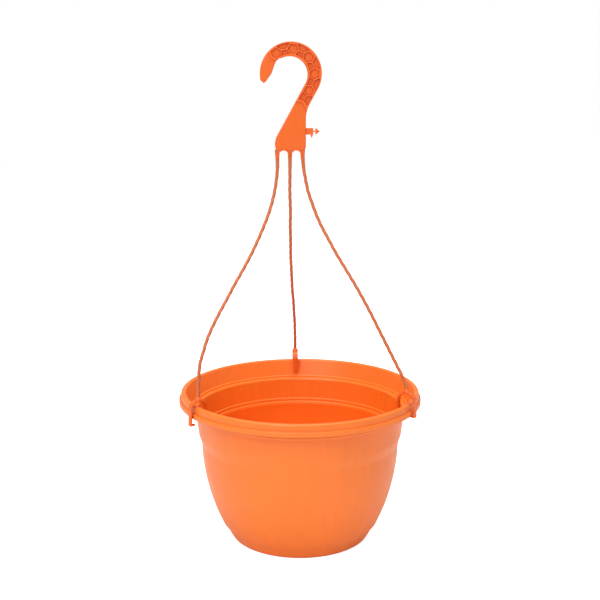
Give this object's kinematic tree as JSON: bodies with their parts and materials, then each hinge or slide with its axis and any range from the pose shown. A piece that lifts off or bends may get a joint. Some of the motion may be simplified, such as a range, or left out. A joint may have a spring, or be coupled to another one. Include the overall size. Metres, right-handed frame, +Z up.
{
  "type": "hanging basket",
  "caption": "Round tapered nursery pot with a stepped rolled rim, carried by a flat moulded hook on slender strands whose end clips straddle the rim.",
  "frame": {"origin": "centre of the underside of the pot's base, the face it stands on", "axes": "+Z up along the pot's own axis; the flat hook lies in the XZ plane with its mouth towards -X, and the back clip is at +Y"},
  "size_m": [0.25, 0.2536, 0.5053],
  "materials": {
    "pot_plastic": "satin moulded",
    "hanger_plastic": "satin moulded"
  },
  "bodies": {
    "basket": {"pot": "pot_plastic", "strand_left": "hanger_plastic", "strand_back": "hanger_plastic", "strand_right": "hanger_plastic"},
    "hook_head": {"hook": "hanger_plastic", "tag_pin": "hanger_plastic"},
    "clip_left": {"clip_left": "hanger_plastic"},
    "clip_back": {"clip_back": "hanger_plastic"},
    "clip_right": {"clip_right": "hanger_plastic"}
  },
  "joints": [
    {"name": "hook_swing", "type": "hinge", "parent": "basket", "child": "hook_head", "pos_m": [-0.01, 0, 0.3965], "axis": [1, 0, 0], "range_deg": [-35, 35], "stiffness_Nm_per_rad": 0.4},
    {"name": "clip_rock_left", "type": "hinge", "parent": "basket", "child": "clip_left", "pos_m": [-0.10236, -0.0591, 0.1656], "axis": [0.5, -0.866, 0], "range_deg": [-0.8, 0.8], "stiffness_Nm_per_rad": 0.05},
    {"name": "clip_rock_back", "type": "hinge", "parent": "basket", "child": "clip_back", "pos_m": [0, 0.1182, 0.1694], "axis": [-1, 0, 0], "range_deg": [-0.8, 0.8], "stiffness_Nm_per_rad": 0.05},
    {"name": "clip_rock_right", "type": "hinge", "parent": "basket", "child": "clip_right", "pos_m": [0.10236, -0.0591, 0.1708], "axis": [0.5, 0.866, 0], "range_deg": [-0.8, 0.8], "stiffness_Nm_per_rad": 0.05}
  ]
}
